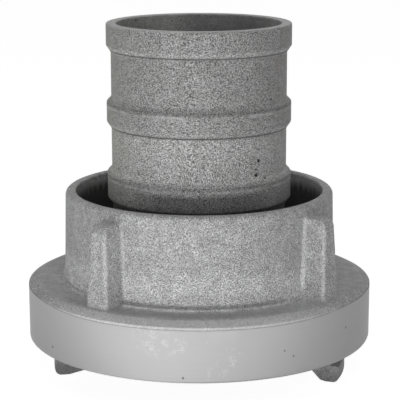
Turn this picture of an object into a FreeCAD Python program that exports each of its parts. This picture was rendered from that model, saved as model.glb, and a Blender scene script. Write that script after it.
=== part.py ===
import FreeCAD, Part
import math
import os

# A cast aluminium quarter-turn fire hose coupling of the 52 mm hose size. Lengths are in
# millimetres and angles in degrees. It stands on its two lugs at z = 0, its axis is +Z,
# and the lugs lie along +X and -X.

# Hook-shaped lugs below the mating face
LUG_ANGLES = (0.0, 180.0)
LUG_HEIGHT = 11.6
LUG_INNER_R = 33.0
LUG_STEM_R = 38.3
LUG_NOSE_R = 42.25
LUG_SPAN = 32.0
LUG_NOSE_DEPTH = 6.6
LUG_TOE_WIDTH = 5.2
LUG_TOE_RISE = 1.2
LUG_TOE_ROUND = 3.0
LUG_HEEL_ROUND = 0.8
LUG_LEAD_CHAMFER = 4.1
LUG_TAIL_CHAMFER = 0.6
LUG_CORNER_ROUND = 3.0
LUG_NOSE_ROUND = 0.7
LUG_RAMP_TILT = 1.4

# Windows and undercut track for the other coupling's lugs
TRACK_CLEARANCE = 0.5
NOSE_CLEARANCE = 0.8
LIP_PLAY = 0.8
WINDOW_OFFSET_ANGLE = 1.5
WINDOW_CLEARANCE_ANGLE = 2.5
WINDOW_CORNER_ROUND = 1.5
TRACK_SPAN = 88.5
LIP_LEAD_ANGLE = 9.0
LIP_LEAD_DROP = 1.2

# Ring that carries the lugs and meets the other coupling face to face
RING_R = 49.0
RING_ROOF = 3.1
RING_CROWN = 1.4
CROWN_SLOPE_WIDTH = 2.9
CROWN_ROUND = 6.0
FACE_EDGE_ROUND = 0.6
BAND_EDGE_ROUND = 0.25
FRONT_BORE_EDGE_ROUND = 0.4
SHOULDER_EDGE_ROUND = 0.3

# Bell, the skirt that guards the hose end and its binding
BELL_HEIGHT = 25.4
BELL_RIM_R = 38.0
BELL_BASE_R = 38.5
BELL_WALL = 2.9
BELL_INNER_DRAFT = 0.4
BELL_OUTER_ROUND = 1.8
BELL_INNER_ROUND = 0.6
BELL_FLOOR_THICKNESS = 4.3
BELL_FLOOR_ROUND = 2.5
FOOT_FLARE = 0.65
FOOT_FLARE_HEIGHT = 3.1
FOOT_WALL_HEIGHT = 1.3
FOOT_ROUND = 0.5
FOOT_BLEND_ROUND = 1.0

# Grip ribs around the bell
RIB_COUNT = 4
RIB_START_ANGLE = 57.5
RIB_TOP_PROUD = 6.2
RIB_FACE_LEAN = 1.1
RIB_TOP_DROP = 2.9
RIB_SHOULDER_ROUND = 4.2
RIB_FACE_WIDTH = 4.4
RIB_FOOT_SPREAD = 1.6
RIB_SIDE_DRAFT = 5.0
RIB_EDGE_ROUND = 1.1
RIB_ROOT_ROUND = 1.4
RIB_TOP_EDGE_ROUND = 1.0
RIB_CROWN_ROUND = 0.8
RIB_CROWN_LEAN = 0.35

# Swivel: the tail's collar bears on a shoulder in the head, held by a snap ring
SWIVEL_R = 26.2
SWIVEL_CLEARANCE = 0.1
SWIVEL_END_PLAY = 0.1
SWIVEL_LAND_ABOVE_RING = 3.0
SHOULDER_DEPTH = 10.8
COLLAR_R = 32.1
COLLAR_CLEARANCE = 0.3
COLLAR_RECESS = 0.3
COLLAR_FRONT_ROUND = 0.5
COLLAR_BACK_ROUND = 0.3
SNAP_WIRE_R = 1.2
SNAP_WIRE_INSET = 0.85
SNAP_WIRE_CLEARANCE = 0.05
SNAP_GROOVE_ROUND = 0.4
SNAP_RING_GAP = 24.0
SNAP_RING_GAP_ANGLE = 140.0

# Hose tail, the swivelling tube that the hose is bound to, from its neck upwards
TAIL_NECK_R = 24.5
TAIL_BARREL_R = 24.7
TAIL_RIDGE_R = 26.0
NECK_TAPER_LENGTH = 2.5
NECK_LENGTH = 13.8
LOWER_RIDGE_LENGTH = 7.0
LOWER_BARREL_LENGTH = 11.3
MIDDLE_RIDGE_LENGTH = 5.5
UPPER_BARREL_LENGTH = 12.7
TOP_RIDGE_LENGTH = 6.1
RIDGE_UNDER_FLANK = 1.9
RIDGE_UPPER_FLANK = 1.3
RIDGE_EDGE_ROUND = 0.6
RIDGE_ROOT_ROUND = 0.9
WATERWAY_R = 22.4
MOUTH_R = 23.1
MOUTH_TAPER_LENGTH = 9.0
MOUTH_EDGE_ROUND = 0.45
INLET_EDGE_ROUND = 0.3

# Face seal, a rubber ring buttoned into an undercut in the collar
SEAL_INNER_R = 24.0
SEAL_LIP_R = 29.6
SEAL_FOOT_R = 30.8
SEAL_FOOT_HEIGHT = 3.0
SEAL_SEAT_DEPTH = 6.0
SEAL_STAND_OUT = 0.8
SEAL_LIP_ROUND = 1.0
SEAL_CLEARANCE = 0.1
SEAL_BORE_EDGE_ROUND = 0.3

# Places that follow from the sizes above
FACE_Z = LUG_HEIGHT
ROOF_Z = FACE_Z + LUG_HEIGHT + TRACK_CLEARANCE
BAND_TOP_Z = ROOF_Z + RING_ROOF
CROWN_Z = BAND_TOP_Z + RING_CROWN
FRONT_BORE_R = COLLAR_R + COLLAR_CLEARANCE
SHOULDER_BORE_R = SWIVEL_R + SWIVEL_CLEARANCE
SHOULDER_Z = FACE_Z + SHOULDER_DEPTH
BELL_FLOOR_Z = ROOF_Z + BELL_FLOOR_THICKNESS
BELL_RIM_Z = CROWN_Z + BELL_HEIGHT
BELL_INNER_RIM_R = BELL_RIM_R - BELL_WALL
BELL_INNER_FLOOR_R = BELL_INNER_RIM_R - BELL_INNER_DRAFT
RIB_TOP_Z = BELL_RIM_Z - RIB_TOP_DROP
RIB_TOP_R = BELL_RIM_R + RIB_TOP_PROUD
RIB_FOOT_R = RIB_TOP_R + RIB_FACE_LEAN
COLLAR_FRONT_Z = FACE_Z + COLLAR_RECESS
COLLAR_TOP_Z = SHOULDER_Z - SWIVEL_END_PLAY
SEAL_SEAT_Z = COLLAR_FRONT_Z + SEAL_SEAT_DEPTH
SNAP_CENTRE_R = SWIVEL_R - SNAP_WIRE_INSET + SNAP_WIRE_R
SNAP_CENTRE_Z = BELL_FLOOR_Z + SWIVEL_END_PLAY + SNAP_WIRE_R
SWIVEL_TOP_Z = SNAP_CENTRE_Z + SNAP_WIRE_R + SWIVEL_LAND_ABOVE_RING
NECK_LOW_Z = SWIVEL_TOP_Z + NECK_TAPER_LENGTH
NECK_TOP_Z = NECK_LOW_Z + NECK_LENGTH

# Working amounts that only help the solids to cut and join cleanly
OVERRUN = 1.0
SURFACE_INSET = 0.05
LONGEST_ROUND_SHARE = 0.45
TRACK_OVERLAP_ANGLE = 2.0
RIB_BELL_MARGIN = 0.8
RIB_CENTRE_MARGIN = 0.6
SHORTEST_TOP_EDGE = 0.2
TOLERANCE = 0.001
FULL_TURN = 360.0
AXIS = FreeCAD.Vector(0, 0, 1)
ORIGIN = FreeCAD.Vector(0, 0, 0)


def rounded_face(corners):
    """Return a flat face in the XZ plane; each corner is its r, its z and its rounding."""
    points = [FreeCAD.Vector(r, 0, z) for r, z, rounding in corners]
    arcs = []
    count = len(points)
    for index in range(count):
        here = points[index]
        back = points[index - 1].sub(here)
        ahead = points[(index + 1) % count].sub(here)
        rounding = corners[index][2]
        half_angle = back.getAngle(ahead) / 2
        reach = rounding / math.tan(half_angle)
        reach = min(reach, LONGEST_ROUND_SHARE * min(back.Length, ahead.Length))
        radius = reach * math.tan(half_angle)
        back.normalize()
        ahead.normalize()
        start = here.add(back.multiply(reach))
        end = here.add(ahead.multiply(reach))
        to_middle = start.add(end).multiply(0.5).sub(here)
        if radius > 0:
            to_middle.normalize()
            to_middle.multiply(radius / math.sin(half_angle) - radius)
        arcs.append((start, here.add(to_middle), end, radius > 0))
    edges = []
    for index in range(count):
        start, middle, end, is_round = arcs[index]
        if is_round:
            edges.append(Part.Arc(start, middle, end).toShape())
        edges.append(Part.LineSegment(end, arcs[(index + 1) % count][0]).toShape())
    return Part.Face(Part.Wire(edges))


def turned(corners):
    """Return the solid that a lathe would cut with this outline."""
    return rounded_face(corners).revolve(ORIGIN, AXIS, FULL_TURN)


def turned_sector(corners, centre_angle, span):
    """Return a turned solid that covers only a span about one angle."""
    solid = rounded_face(corners).revolve(ORIGIN, AXIS, span)
    solid.rotate(ORIGIN, AXIS, centre_angle - span / 2)
    return solid


def block_sector(inner_r, outer_r, low_z, high_z, start_angle, span):
    """Return a plain ring sector between two radii, two heights and two angles."""
    corners = [
        (inner_r, low_z, 0),
        (outer_r, low_z, 0),
        (outer_r, high_z, 0),
        (inner_r, high_z, 0),
    ]
    return turned_sector(corners, start_angle + span / 2, span)


def edges_along_axis(solid):
    """Return the straight edges of a solid that run parallel to the coupling's axis."""
    chosen = []
    for edge in solid.Edges:
        first = edge.Vertexes[0].Point
        last = edge.Vertexes[-1].Point
        is_straight = edge.Curve.TypeId == "Part::GeomLine"
        if is_straight and math.hypot(first.x - last.x, first.y - last.y) < TOLERANCE:
            chosen.append(edge)
    return chosen


def head_blank():
    """Return the ring, shoulder and bell of the head as one turned casting."""
    foot_r = BELL_BASE_R + FOOT_FLARE
    return turned([
        (SHOULDER_BORE_R, SHOULDER_Z, SHOULDER_EDGE_ROUND),
        (FRONT_BORE_R, SHOULDER_Z, 0),
        (FRONT_BORE_R, FACE_Z, FRONT_BORE_EDGE_ROUND),
        (RING_R, FACE_Z, FACE_EDGE_ROUND),
        (RING_R, BAND_TOP_Z, BAND_EDGE_ROUND),
        (RING_R - CROWN_SLOPE_WIDTH, CROWN_Z, CROWN_ROUND),
        (foot_r, CROWN_Z, FOOT_ROUND),
        (foot_r, CROWN_Z + FOOT_WALL_HEIGHT, FOOT_ROUND),
        (BELL_BASE_R, CROWN_Z + FOOT_FLARE_HEIGHT, FOOT_BLEND_ROUND),
        (BELL_RIM_R, BELL_RIM_Z, BELL_OUTER_ROUND),
        (BELL_INNER_RIM_R, BELL_RIM_Z, BELL_INNER_ROUND),
        (BELL_INNER_FLOOR_R, BELL_FLOOR_Z, BELL_FLOOR_ROUND),
        (SHOULDER_BORE_R, BELL_FLOOR_Z, SHOULDER_EDGE_ROUND),
    ])


def rib_section(z, bell_r, face_r, spread):
    """Return the closed outline of a rib seen from above, flaring where it meets the bell."""
    half_face = RIB_FACE_WIDTH / 2 + spread
    half_root = half_face + math.tan(math.radians(RIB_SIDE_DRAFT)) * (face_r - bell_r)
    half_flare = half_root + 2 * RIB_ROOT_ROUND
    root_x = math.sqrt(bell_r ** 2 - half_root ** 2)
    flare_x = math.sqrt(bell_r ** 2 - half_flare ** 2) - SURFACE_INSET
    inner_x = bell_r - BELL_WALL / 2
    outline = rounded_face([
        (inner_x, -half_flare, 0),
        (flare_x, -half_flare, 0),
        (root_x, -half_root, RIB_ROOT_ROUND),
        (face_r, -half_face, RIB_EDGE_ROUND),
        (face_r, half_face, RIB_EDGE_ROUND),
        (root_x, half_root, RIB_ROOT_ROUND),
        (flare_x, half_flare, 0),
        (inner_x, half_flare, 0),
    ]).OuterWire
    outline.rotate(ORIGIN, FreeCAD.Vector(1, 0, 0), -90)
    outline.translate(FreeCAD.Vector(0, 0, z))
    return outline


def rib_top_side_edges(solid):
    """Return the edges of a rib along +X where its sides meet its top and its shoulder."""
    chosen = []
    middle_z = (CROWN_Z + RIB_TOP_Z) / 2
    for edge in solid.Edges:
        first = edge.Vertexes[0].Point
        last = edge.Vertexes[-1].Point
        middle = edge.valueAt((edge.FirstParameter + edge.LastParameter) / 2)
        is_high = min(first.z, last.z) > middle_z
        is_outside = min(first.x, last.x) > BELL_RIM_R + RIB_BELL_MARGIN
        is_at_side = abs(middle.y) > RIB_CENTRE_MARGIN
        rise = abs(first.z - last.z) + abs(first.x - last.x)
        if is_high and is_outside and is_at_side and rise > SHORTEST_TOP_EDGE:
            chosen.append(edge)
    return chosen


def rib(angle):
    """Return one grip rib with drafted sides and a rounded shoulder, standing at an angle."""
    inner_r = BELL_RIM_R - BELL_WALL / 2
    low_z = CROWN_Z - OVERRUN
    blend_z = RIB_TOP_Z + 2 * RIB_CROWN_ROUND
    top_section_z = blend_z + OVERRUN
    outline = turned([
        (inner_r, low_z, 0),
        (RIB_FOOT_R + OVERRUN, low_z, 0),
        (RIB_FOOT_R + OVERRUN, CROWN_Z, 0),
        (RIB_TOP_R + SURFACE_INSET, RIB_TOP_Z, RIB_SHOULDER_ROUND),
        (BELL_RIM_R, RIB_TOP_Z, RIB_CROWN_ROUND),
        (BELL_RIM_R - RIB_CROWN_LEAN, blend_z, 0),
        (inner_r, blend_z, 0),
    ])
    outline.rotate(ORIGIN, AXIS, FULL_TURN / 2)
    foot = rib_section(low_z, BELL_BASE_R, RIB_FOOT_R, RIB_FOOT_SPREAD)
    top = rib_section(top_section_z, BELL_RIM_R, RIB_TOP_R, 0)
    solid = outline.common(Part.makeLoft([foot, top], True, True))
    solid = solid.makeFillet(RIB_TOP_EDGE_ROUND, rib_top_side_edges(solid))
    solid.rotate(ORIGIN, AXIS, angle)
    return solid


def lead_chamfer_cutter():
    """Return the wedge that bevels a lug's inner toe, widest at the end that enters first."""
    inner_r = LUG_INNER_R - OVERRUN
    sections = []
    for angle, size in ((-LUG_SPAN / 2, LUG_LEAD_CHAMFER), (LUG_SPAN / 2, LUG_TAIL_CHAMFER)):
        reach = size + 2 * OVERRUN
        triangle = Part.makePolygon([
            FreeCAD.Vector(inner_r, 0, -OVERRUN),
            FreeCAD.Vector(inner_r + reach, 0, -OVERRUN),
            FreeCAD.Vector(inner_r, 0, reach - OVERRUN),
            FreeCAD.Vector(inner_r, 0, -OVERRUN),
        ])
        triangle.rotate(ORIGIN, AXIS, angle)
        sections.append(triangle)
    return Part.makeLoft(sections, True, True)


def lug(angle):
    """Return one hook-shaped lug, its nose ramped so that turning draws the faces together."""
    nose_z = FACE_Z - LUG_NOSE_DEPTH
    solid = turned_sector([
        (LUG_INNER_R, FACE_Z + OVERRUN, 0),
        (LUG_INNER_R, LUG_TOE_RISE, LUG_HEEL_ROUND),
        (LUG_INNER_R + LUG_TOE_WIDTH, 0, LUG_TOE_ROUND),
        (LUG_NOSE_R, 0, LUG_CORNER_ROUND),
        (LUG_NOSE_R, nose_z, LUG_NOSE_ROUND),
        (LUG_STEM_R, nose_z, LUG_NOSE_ROUND),
        (LUG_STEM_R, FACE_Z + OVERRUN, 0),
    ], 0, LUG_SPAN)
    width = 2 * LUG_NOSE_R
    nose_ramp = Part.makeBox(width, width, LUG_NOSE_DEPTH)
    nose_ramp.translate(FreeCAD.Vector(LUG_STEM_R, -width / 2, nose_z))
    ramp_pivot = FreeCAD.Vector(LUG_STEM_R, 0, nose_z)
    nose_ramp.rotate(ramp_pivot, FreeCAD.Vector(1, 0, 0), LUG_RAMP_TILT)
    solid = solid.cut([nose_ramp, lead_chamfer_cutter()])
    solid.rotate(ORIGIN, AXIS, angle)
    return solid


def track(angle):
    """Return the space that one lug of the other coupling needs to enter and turn."""
    window_start = LUG_SPAN / 2 + WINDOW_OFFSET_ANGLE
    window_span = LUG_SPAN + 2 * WINDOW_CLEARANCE_ANGLE
    lip_start = window_start + window_span
    inner_r = FRONT_BORE_R - OVERRUN
    outer_r = LUG_NOSE_R + NOSE_CLEARANCE
    stem_r = LUG_STEM_R + TRACK_CLEARANCE
    low_z = FACE_Z - OVERRUN
    lip_back_z = FACE_Z + LUG_NOSE_DEPTH - LIP_PLAY
    window = block_sector(inner_r, outer_r, low_z, ROOF_Z, window_start, window_span)
    window = window.makeFillet(WINDOW_CORNER_ROUND, edges_along_axis(window))
    slot_start = lip_start - TRACK_OVERLAP_ANGLE
    slot_span = TRACK_SPAN + TRACK_OVERLAP_ANGLE
    stem_slot = block_sector(inner_r, stem_r, low_z, ROOF_Z, slot_start, slot_span)
    undercut = block_sector(inner_r, outer_r, lip_back_z, ROOF_Z, slot_start, slot_span)
    lead_z = lip_back_z - LIP_LEAD_DROP
    lead_in = block_sector(inner_r, outer_r, lead_z, ROOF_Z, slot_start, LIP_LEAD_ANGLE)
    space = window.fuse([stem_slot, undercut, lead_in])
    space.rotate(ORIGIN, AXIS, angle)
    return space


def coupling_head():
    """Return the one-piece casting of ring, lugs, bell and ribs."""
    added = [lug(angle) for angle in LUG_ANGLES]
    for index in range(RIB_COUNT):
        added.append(rib(RIB_START_ANGLE + index * FULL_TURN / RIB_COUNT))
    solid = head_blank().fuse(added)
    solid = solid.cut([track(angle) for angle in LUG_ANGLES])
    return solid.removeSplitter()


def ridge(low_z, length, upper_r):
    """Return the outline corners of one hose ridge, from its lower flank to its upper one."""
    high_z = low_z + RIDGE_UNDER_FLANK + length
    return [
        (TAIL_RIDGE_R, low_z + RIDGE_UNDER_FLANK, RIDGE_EDGE_ROUND),
        (TAIL_RIDGE_R, high_z, RIDGE_EDGE_ROUND),
        (upper_r, high_z + RIDGE_UPPER_FLANK, RIDGE_ROOT_ROUND),
    ]


def hose_tail():
    """Return the ridged hose tail with its swivel land, snap ring groove and seal collar."""
    groove_r = SWIVEL_R - SNAP_WIRE_INSET - SNAP_WIRE_CLEARANCE
    groove_half = SNAP_WIRE_R + SNAP_WIRE_CLEARANCE
    undercut_r = SEAL_FOOT_R + SEAL_CLEARANCE
    undercut_z = SEAL_SEAT_Z - SEAL_FOOT_HEIGHT - SEAL_CLEARANCE
    lower_barrel_z = NECK_TOP_Z + RIDGE_UNDER_FLANK + LOWER_RIDGE_LENGTH + RIDGE_UPPER_FLANK
    middle_ridge_z = lower_barrel_z + LOWER_BARREL_LENGTH
    upper_barrel_z = middle_ridge_z + RIDGE_UNDER_FLANK + MIDDLE_RIDGE_LENGTH + RIDGE_UPPER_FLANK
    top_ridge_z = upper_barrel_z + UPPER_BARREL_LENGTH
    top_z = top_ridge_z + RIDGE_UNDER_FLANK + TOP_RIDGE_LENGTH
    outline = [
        (WATERWAY_R, SEAL_SEAT_Z, INLET_EDGE_ROUND),
        (undercut_r, SEAL_SEAT_Z, 0),
        (undercut_r, undercut_z, 0),
        (SEAL_LIP_R + SEAL_CLEARANCE, undercut_z, 0),
        (SEAL_LIP_R + SEAL_CLEARANCE, COLLAR_FRONT_Z, SEAL_BORE_EDGE_ROUND),
        (COLLAR_R, COLLAR_FRONT_Z, COLLAR_FRONT_ROUND),
        (COLLAR_R, COLLAR_TOP_Z, COLLAR_BACK_ROUND),
        (SWIVEL_R, COLLAR_TOP_Z, 0),
        (SWIVEL_R, SNAP_CENTRE_Z - groove_half, 0),
        (groove_r, SNAP_CENTRE_Z - groove_half, SNAP_GROOVE_ROUND),
        (groove_r, SNAP_CENTRE_Z + groove_half, SNAP_GROOVE_ROUND),
        (SWIVEL_R, SNAP_CENTRE_Z + groove_half, 0),
        (SWIVEL_R, SWIVEL_TOP_Z, RIDGE_EDGE_ROUND),
        (TAIL_NECK_R, NECK_LOW_Z, RIDGE_ROOT_ROUND),
        (TAIL_NECK_R, NECK_TOP_Z, RIDGE_ROOT_ROUND),
    ]
    outline += ridge(NECK_TOP_Z, LOWER_RIDGE_LENGTH, TAIL_BARREL_R)
    outline.append((TAIL_BARREL_R, middle_ridge_z, RIDGE_ROOT_ROUND))
    outline += ridge(middle_ridge_z, MIDDLE_RIDGE_LENGTH, TAIL_BARREL_R)
    outline += [
        (TAIL_BARREL_R, top_ridge_z, RIDGE_ROOT_ROUND),
        (TAIL_RIDGE_R, top_ridge_z + RIDGE_UNDER_FLANK, RIDGE_EDGE_ROUND),
        (TAIL_RIDGE_R, top_z, MOUTH_EDGE_ROUND),
        (MOUTH_R, top_z, MOUTH_EDGE_ROUND),
        (WATERWAY_R, top_z - MOUTH_TAPER_LENGTH, 0),
    ]
    return turned(outline)


def face_seal():
    """Return the rubber seal ring with its foot in the collar and its lip standing out."""
    foot_front_z = SEAL_SEAT_Z - SEAL_FOOT_HEIGHT
    lip_z = FACE_Z - SEAL_STAND_OUT
    return turned([
        (SEAL_INNER_R, SEAL_SEAT_Z, 0),
        (SEAL_INNER_R, lip_z, SEAL_LIP_ROUND),
        (SEAL_LIP_R, lip_z, SEAL_LIP_ROUND),
        (SEAL_LIP_R, foot_front_z, 0),
        (SEAL_FOOT_R, foot_front_z, 0),
        (SEAL_FOOT_R, SEAL_SEAT_Z, 0),
    ])


def snap_ring():
    """Return the split ring of round wire that keeps the tail in the head."""
    ring = Part.makeTorus(
        SNAP_CENTRE_R, SNAP_WIRE_R, FreeCAD.Vector(0, 0, SNAP_CENTRE_Z), AXIS,
        -FULL_TURN / 2, FULL_TURN / 2, FULL_TURN - SNAP_RING_GAP)
    ring.rotate(ORIGIN, AXIS, SNAP_RING_GAP_ANGLE)
    return ring


def save(name, solid):
    """Write one piece of the coupling to its own file."""
    solid.exportStep("parts/" + name + ".step")


os.makedirs("parts", exist_ok=True)
save("coupling_head", coupling_head())
save("hose_tail", hose_tail())
save("face_seal", face_seal())
save("snap_ring", snap_ring())
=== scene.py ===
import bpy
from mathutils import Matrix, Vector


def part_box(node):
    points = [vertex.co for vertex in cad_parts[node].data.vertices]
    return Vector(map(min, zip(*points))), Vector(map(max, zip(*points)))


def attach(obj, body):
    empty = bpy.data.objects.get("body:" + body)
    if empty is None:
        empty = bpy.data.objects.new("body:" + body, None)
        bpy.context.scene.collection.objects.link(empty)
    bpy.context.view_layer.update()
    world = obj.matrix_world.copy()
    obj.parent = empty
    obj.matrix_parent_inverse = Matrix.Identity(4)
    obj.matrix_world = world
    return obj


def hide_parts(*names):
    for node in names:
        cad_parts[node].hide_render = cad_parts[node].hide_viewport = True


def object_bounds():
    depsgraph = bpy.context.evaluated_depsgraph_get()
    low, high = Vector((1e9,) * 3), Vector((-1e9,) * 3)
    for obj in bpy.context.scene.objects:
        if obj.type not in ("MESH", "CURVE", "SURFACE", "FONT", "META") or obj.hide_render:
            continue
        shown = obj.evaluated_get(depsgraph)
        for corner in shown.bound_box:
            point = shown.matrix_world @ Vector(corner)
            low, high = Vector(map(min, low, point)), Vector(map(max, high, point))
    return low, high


bl_info = {
    "name": "Quarter Turn Hose Coupling",
    "version": (1, 0, 0),
    "blender": (4, 5, 0),
    "location": "3D View > Sidebar > Coupling",
    "description": "Finishes of a cast aluminium fire hose coupling, and the studio it stands in",
    "category": "Object",
}

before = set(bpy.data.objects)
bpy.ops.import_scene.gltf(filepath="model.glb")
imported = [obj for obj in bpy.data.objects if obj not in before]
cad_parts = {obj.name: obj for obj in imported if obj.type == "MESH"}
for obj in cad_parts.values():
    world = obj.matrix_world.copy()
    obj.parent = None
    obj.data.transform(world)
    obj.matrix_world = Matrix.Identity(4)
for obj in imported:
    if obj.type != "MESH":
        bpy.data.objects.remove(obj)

import math

import bmesh
import bpy
from bpy.props import FloatProperty, FloatVectorProperty, PointerProperty
from mathutils import Matrix, Vector

MM = 0.001
ORIGIN = (0, 0, 0)
LEVEL_PLANE = (1, 1, 0)

CAD_LOW, CAD_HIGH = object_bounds()
HEAD_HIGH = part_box("coupling_head")[1]
TAIL_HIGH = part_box("hose_tail")[1]
SEAL_LOW, SEAL_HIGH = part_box("face_seal")

# Places on the coupling, in metres. Heights are above the feet of the lugs.
RING_R = HEAD_HIGH.x
BELL_RIM_Z = HEAD_HIGH.z
MOUTH_Z = TAIL_HIGH.z
FACE_Z = 11.6 * MM
BAND_TOP_Z = 26.8 * MM
CROWN_Z = 28.2 * MM
CROWN_INNER_R = 46.1 * MM
FOOT_R = 39.15 * MM
FRONT_BORE_R = 32.4 * MM
SHOULDER_Z = 22.4 * MM
BELL_FLOOR_Z = 28.0 * MM
BELL_INNER_R = 35.1 * MM
BARREL_R = 24.7 * MM
RIDGE_R = 26.0 * MM
LOWER_RIDGE_TOP_Z = 58.7 * MM
MIDDLE_RIDGE_TOP_Z = 78.7 * MM
RIDGE_FOOT_Z = (71.3 * MM, 92.7 * MM)
MOUTH_R = 23.1 * MM
WATERWAY_R = 22.4 * MM
SEAL_BORE_R = 24.0 * MM
SEAL_LIP_R = 29.6 * MM
SEAL_FOOT_R = 30.8 * MM
SEAL_FOOT_HEIGHT = 3.0 * MM

# The four ribs stand at quarter turns from this angle in degrees. The edges and roots of one
# are given at its foot and at its top, as distances outward from the axis and across the rib.
RIB_ANGLE = 57.5
RIB_TOP_Z = 50.7 * MM
RIB_FOOT_EDGE = (44.9 * MM, 3.6 * MM)
RIB_TOP_EDGE = (43.8 * MM, 2.1 * MM)
RIB_FOOT_ROOT = (38.9 * MM, 4.9 * MM)
RIB_TOP_ROOT = (38.4 * MM, 3.3 * MM)

# Directions round the axis, in degrees
FRONT = -90.0
BACK = 75.0
LEFT = 170.0

# How much lower the turned band ends in front, and the width in which it turns to cast skin
BAND_TOP_DROP = 0.75 * MM
TURNED_SOFT = 0.06 * MM

# Contrast of the flecks, shades of the mottling, and colours of the haze
HEAD_SKIN = (0.56, (0.91, 1.08), ((0.92, 0.92, 0.92), (1.07, 1.07, 1.08)))
TAIL_SKIN = (0.76, (0.95, 1.05), ((0.965, 0.97, 0.955), (1.03, 1.03, 1.04)))

# Shine and relief of both castings
CAST_ROUGHNESS = 0.6
TURNED_ROUGHNESS = 0.45
METAL_SHARE = 0.15
SPECULAR_LEVEL = 0.15
TURNED_RELIEF = 0.004 * MM
PIT_DEPTH = 0.2 * MM

# Colours of the marks on both castings, and of the painted shade and painted light on them
TAIL_SHADE = (0.055, 0.055, 0.054, 1.0)
STAIN = (0.46, 0.36, 0.33, 1.0)
RUBBED_AND_GLINT = (0.85, 0.85, 0.84, 1.0)
INSIDE_SHADE = (0.04, 0.04, 0.039, 1.0)
LEFT_LIGHT_TINT = (1.06, 1.06, 1.01, 1.0)

# Marks on the turned band: angle round the axis in degrees, height and size in mm
PALE_SCUFFS = (
    (-101.5, 24.9, 0.5), (-96.4, 25.2, 0.5), (-99.2, 21.2, 0.5), (-102.7, 22.6, 0.4),
    (-91.2, 23.5, 0.45), (-101.6, 20.0, 0.35), (-82.7, 23.0, 0.4), (-49.3, 25.2, 0.4),
    (-37.8, 22.1, 0.4), (-77.2, 14.7, 0.4), (-78.8, 14.1, 0.45), (-74.4, 18.8, 0.5),
)
SCRATCHED_PATCHES = (
    (-99.5, 23.4, 7.0), (-92.0, 21.5, 4.5), (-76.0, 18.0, 4.5), (-80.0, 14.5, 3.5),
)
TOOL_MARKED_PATCHES = ((-79.5, 24.9, 3.6), (-75.5, 24.7, 3.2))
DARK_PINHOLES = (
    (-30.6, 20.6, 0.35), (-57.8, 18.9, 0.3), (-54.5, 17.0, 0.35), (-139.9, 15.1, 0.45),
    (-90.0, 13.2, 0.4),
)

# Gas pits in the skin of the tail: angle round the axis in degrees, height and size in mm
TAIL_PITS = (
    (-44.1, 64.9, 0.6), (-46.3, 62.6, 0.4), (-46.1, 61.0, 0.6), (-38.8, 59.6, 0.6),
    (-32.5, 81.2, 0.45), (-149.6, 61.2, 0.45),
)
TAIL_STAIN = (-23.4, 90.1, 2.6)
MOUTH_PIT = (146.8, 99.6, 0.8)


class CouplingCasting(bpy.types.PropertyGroup):
    """Colours and skin of the two aluminium castings."""

    head_colour: FloatVectorProperty(
        name="Head colour", description="Colour of the head's cast skin",
        subtype="COLOR", size=3, min=0, max=1, default=(0.53, 0.53, 0.53))
    band_colour: FloatVectorProperty(
        name="Band colour", description="Colour of the turned band and of the mating face",
        subtype="COLOR", size=3, min=0, max=1, default=(0.615, 0.615, 0.615))
    tail_colour: FloatVectorProperty(
        name="Tail colour", description="Colour of the hose tail's cast skin",
        subtype="COLOR", size=3, min=0, max=1, default=(0.4, 0.4, 0.398))
    grain_size: FloatProperty(
        name="Grain size", description="Width of one grain of the cast skin",
        subtype="DISTANCE", unit="LENGTH", min=0.0001, max=0.002, default=0.00021)
    grain_depth: FloatProperty(
        name="Grain depth", description="Depth of the cast skin's grain",
        subtype="DISTANCE", unit="LENGTH", min=0, max=0.0003, default=0.00007)
    turning_pitch: FloatProperty(
        name="Turning pitch", description="Spacing of the lathe's marks on the band",
        subtype="DISTANCE", unit="LENGTH", min=0.00005, max=0.001, default=0.00025)


class CouplingFittings(bpy.types.PropertyGroup):
    """Finishes of the seal and the snap ring."""

    rubber_colour: FloatVectorProperty(
        name="Rubber colour", description="Colour of the face seal",
        subtype="COLOR", size=3, min=0, max=1, default=(0.028, 0.028, 0.028))
    steel_colour: FloatVectorProperty(
        name="Steel colour", description="Colour of the snap ring's wire",
        subtype="COLOR", size=3, min=0, max=1, default=(0.42, 0.42, 0.43))
    lip_relief: FloatProperty(
        name="Lip relief", description="Depth of the grooves between the seal's lips",
        subtype="DISTANCE", unit="LENGTH", min=0, max=0.001, default=0.0005)


class CouplingStudio(bpy.types.PropertyGroup):
    """Camera and light of the studio."""

    camera_distance: FloatProperty(
        name="Camera distance", description="Level distance from the coupling's axis",
        subtype="DISTANCE", unit="LENGTH", min=0.1, max=5, default=0.42903)
    camera_height: FloatProperty(
        name="Camera height", description="Height of the camera above the floor",
        subtype="DISTANCE", unit="LENGTH", min=0, max=5, default=0.14552)
    camera_turn: FloatProperty(
        name="Camera turn", description="How far the camera stands round from the front",
        subtype="ANGLE", unit="ROTATION", default=math.radians(5.0))
    camera_pitch: FloatProperty(
        name="Camera pitch", description="How far the camera looks down",
        subtype="ANGLE", unit="ROTATION", default=math.radians(12.594))
    front_level: FloatProperty(
        name="Front level", description="Brightness that the front light gives a facing surface",
        min=0, max=5, default=0.15)
    side_level: FloatProperty(
        name="Side level", description="Brightness that the side light gives a facing surface",
        min=0, max=5, default=0.1)
    top_level: FloatProperty(
        name="Top level", description="Brightness that the top light gives a facing surface",
        min=0, max=5, default=0.155)
    left_table_level: FloatProperty(
        name="Left table level", description="Brightness of the lit table close by on the left",
        min=0, max=5, default=1.15)
    right_table_level: FloatProperty(
        name="Right table level", description="Brightness of the lit table close by on the right",
        min=0, max=5, default=0.79)
    far_table_level: FloatProperty(
        name="Far table level", description="Brightness of the lit table nearer the camera",
        min=0, max=5, default=1.95)
    ambient_level: FloatProperty(
        name="Ambient level", description="Brightness that the room gives from all sides",
        min=0, max=5, default=0.08)


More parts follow.
